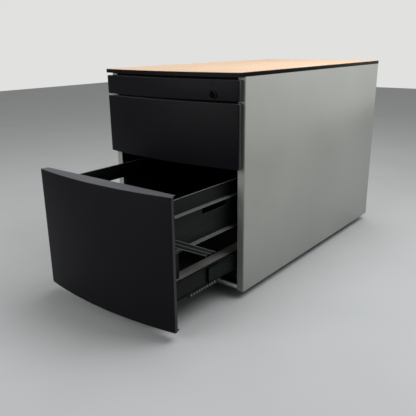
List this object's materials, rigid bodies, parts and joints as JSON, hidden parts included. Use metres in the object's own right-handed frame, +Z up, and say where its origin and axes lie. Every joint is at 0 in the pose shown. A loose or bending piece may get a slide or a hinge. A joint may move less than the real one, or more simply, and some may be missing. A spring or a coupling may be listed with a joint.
{
  "type": "rolling pedestal cabinet",
  "caption": "Under-desk pedestal cabinet on recessed castors: grey steel case, thin wood-decor top, black bowed drawer fronts for tray, box and file drawers, file drawer pulled out.",
  "frame": {"origin": "on the floor, at the middle of the box round the whole cabinet while the file drawer stands 232 mm out", "axes": "+X the cabinet's right as it is faced from the front, +Y towards its back, +Z up"},
  "size_m": [0.43, 1.0534, 0.55],
  "materials": {
    "core": "satin",
    "decor": "satin",
    "case_coat": "semi-gloss powder coat",
    "black_coat": "fine satin powder coat",
    "inner_steel": "satin",
    "zinc": "zinc plated",
    "slide_steel": "rolled and zinc plated",
    "rail_metal": "satin",
    "black_plastic": "moulded",
    "wheel_tread": "moulded nylon",
    "lock_metal": "nickel plated",
    "iron": "black painted"
  },
  "bodies": {
    "case": {"top_board_core": "core", "top_board_decor": "decor", "side_panel_left": "case_coat", "side_panel_right": "case_coat", "back_panel": "case_coat", "base_pan": "black_coat", "bottom_rail_front": "rail_metal", "top_rail_front": "black_coat", "liner_left": "black_coat", "liner_right": "black_coat", "ballast_plate": "iron", "castor_plates": "zinc", "case_screws": "zinc", "tray_runner_left": "slide_steel", "tray_runner_right": "slide_steel", "middle_runner_left": "slide_steel", "middle_runner_right": "slide_steel", "file_runner_left": "slide_steel", "file_runner_right": "slide_steel", "lock_bar_guides": "black_plastic"},
    "tray_drawer": {"tray_front": "black_coat", "tray_floor": "black_coat", "tray_sides": "black_coat", "tray_ends": "black_coat", "pencil_tray": "black_plastic", "tray_slide_left": "slide_steel", "tray_slide_right": "slide_steel", "tray_screws": "zinc", "lock_barrel": "lock_metal"},
    "lock_plug": {"lock_core": "lock_metal", "lock_cam": "zinc"},
    "lock_bolt": {"lock_bolt": "zinc"},
    "lock_bar": {"lock_bar": "zinc"},
    "middle_drawer": {"middle_front": "black_coat", "middle_floor": "black_coat", "middle_sides": "black_coat", "middle_ends": "black_coat", "middle_catch": "zinc", "middle_slide_left": "slide_steel", "middle_slide_right": "slide_steel", "middle_screws": "zinc"},
    "middle_mids": {"middle_mid_left": "slide_steel", "middle_mid_right": "slide_steel"},
    "file_drawer": {"file_front": "black_coat", "file_side_left": "inner_steel", "file_side_right": "inner_steel", "file_rail_left": "inner_steel", "file_rail_right": "inner_steel", "file_back": "inner_steel", "file_floor": "inner_steel", "file_catch": "zinc", "file_stay_left": "inner_steel", "file_stay_right": "inner_steel", "file_slide_left": "slide_steel", "file_slide_right": "slide_steel", "file_screws": "zinc"},
    "file_mids": {"file_mid_left": "slide_steel", "file_mid_right": "slide_steel"},
    "castor_front_left": {"castor_housing_front_left": "black_plastic"},
    "wheels_front_left": {"castor_wheels_front_left": "wheel_tread"},
    "castor_front_right": {"castor_housing_front_right": "black_plastic"},
    "wheels_front_right": {"castor_wheels_front_right": "wheel_tread"},
    "castor_rear_left": {"castor_housing_rear_left": "black_plastic"},
    "wheels_rear_left": {"castor_wheels_rear_left": "wheel_tread"},
    "castor_rear_right": {"castor_housing_rear_right": "black_plastic"},
    "wheels_rear_right": {"castor_wheels_rear_right": "wheel_tread"}
  },
  "joints": [
    {"name": "file_slide", "type": "slide", "parent": "case", "child": "file_drawer", "axis": [0, -1, 0], "range_m": [-0.232, 0.448]},
    {"name": "file_mid_slide", "type": "slide", "parent": "case", "child": "file_mids", "axis": [0, -1, 0], "range_m": [-0.116, 0.224]},
    {"name": "middle_slide", "type": "slide", "parent": "case", "child": "middle_drawer", "axis": [0, -1, 0], "range_m": [0, 0.68]},
    {"name": "middle_mid_slide", "type": "slide", "parent": "case", "child": "middle_mids", "axis": [0, -1, 0], "range_m": [0, 0.34]},
    {"name": "tray_slide", "type": "slide", "parent": "case", "child": "tray_drawer", "axis": [0, -1, 0], "range_m": [0, 0.4]},
    {"name": "lock_turn", "type": "hinge", "parent": "tray_drawer", "child": "lock_plug", "pos_m": [0.1475, -0.2853, 0.5005], "axis": [0, 1, 0], "range_deg": [0, 90]},
    {"name": "lock_bolt_slide", "type": "slide", "parent": "tray_drawer", "child": "lock_bolt", "axis": [1, 0, 0], "range_m": [0, 0.014]},
    {"name": "lock_bar_slide", "type": "slide", "parent": "case", "child": "lock_bar", "axis": [0, 0, -1], "range_m": [0, 0.00805]},
    {"name": "castor_swivel_front_left", "type": "hinge", "parent": "case", "child": "castor_front_left", "pos_m": [-0.15, -0.1853, 0.045], "axis": [0, 0, 1], "continuous": true},
    {"name": "castor_roll_front_left", "type": "hinge", "parent": "castor_front_left", "child": "wheels_front_left", "pos_m": [-0.15, -0.1673, 0.022], "axis": [1, 0, 0], "continuous": true},
    {"name": "castor_swivel_front_right", "type": "hinge", "parent": "case", "child": "castor_front_right", "pos_m": [0.15, -0.1853, 0.045], "axis": [0, 0, 1], "continuous": true},
    {"name": "castor_roll_front_right", "type": "hinge", "parent": "castor_front_right", "child": "wheels_front_right", "pos_m": [0.15, -0.1673, 0.022], "axis": [1, 0, 0], "continuous": true},
    {"name": "castor_swivel_rear_left", "type": "hinge", "parent": "case", "child": "castor_rear_left", "pos_m": [-0.15, 0.4567, 0.045], "axis": [0, 0, 1], "continuous": true},
    {"name": "castor_roll_rear_left", "type": "hinge", "parent": "castor_rear_left", "child": "wheels_rear_left", "pos_m": [-0.15, 0.4747, 0.022], "axis": [1, 0, 0], "continuous": true},
    {"name": "castor_swivel_rear_right", "type": "hinge", "parent": "case", "child": "castor_rear_right", "pos_m": [0.15, 0.4567, 0.045], "axis": [0, 0, 1], "continuous": true},
    {"name": "castor_roll_rear_right", "type": "hinge", "parent": "castor_rear_right", "child": "wheels_rear_right", "pos_m": [0.15, 0.4747, 0.022], "axis": [1, 0, 0], "continuous": true}
  ],
  "couplings": [
    {"joint": "file_mid_slide", "follows": "file_slide", "ratio": 0.5},
    {"joint": "middle_mid_slide", "follows": "middle_slide", "ratio": 0.5},
    {"joint": "lock_turn", "follows": "lock_bolt_slide", "rad_per_m": 112.19},
    {"joint": "lock_bar_slide", "follows": "lock_bolt_slide", "ratio": 0.5714}
  ]
}
